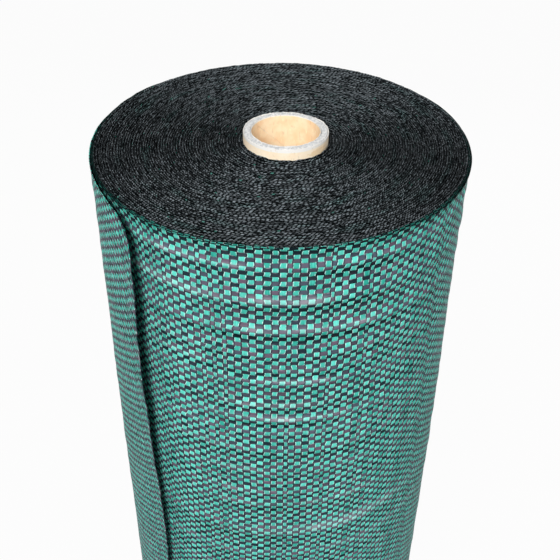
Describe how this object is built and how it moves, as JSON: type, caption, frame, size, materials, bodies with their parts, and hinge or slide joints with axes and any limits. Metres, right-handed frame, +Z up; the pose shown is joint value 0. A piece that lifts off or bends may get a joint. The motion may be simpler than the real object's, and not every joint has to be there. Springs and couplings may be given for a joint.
{
  "type": "roll of weed control fabric",
  "caption": "Upright roll of green and black woven weed control cloth on a paper core that stands proud of the end, with its loose outer end lifting off the side.",
  "frame": {"origin": "middle of the roll's round outline, on the floor it stands on", "axes": "+Z up along the roll; -Y is the pictured front; the loose end lies at the front left, towards -X and -Y; the core's own axis is 2.5 mm towards +X"},
  "size_m": [0.209, 0.208, 1.0047],
  "materials": {
    "liner_paper": "matte",
    "core_board": "matte",
    "cover_paper": "matte",
    "clear_tape": "gloss",
    "wound_cloth": "satin",
    "woven_cloth": "satin"
  },
  "bodies": {
    "roll": {"core_liner_ply": "liner_paper", "core_board_plies": "core_board", "core_cover_ply": "cover_paper", "start_tape": "clear_tape", "wound_fabric": "wound_cloth", "outer_turn": "woven_cloth"},
    "loose_end": {"loose_end": "woven_cloth"}
  },
  "joints": [
    {"name": "loose_end_lift", "type": "hinge", "parent": "roll", "child": "loose_end", "pos_m": [-0.09967, 0.03047, 0.5], "axis": [0, 0, -1], "range_deg": [-0.8, 90]}
  ]
}
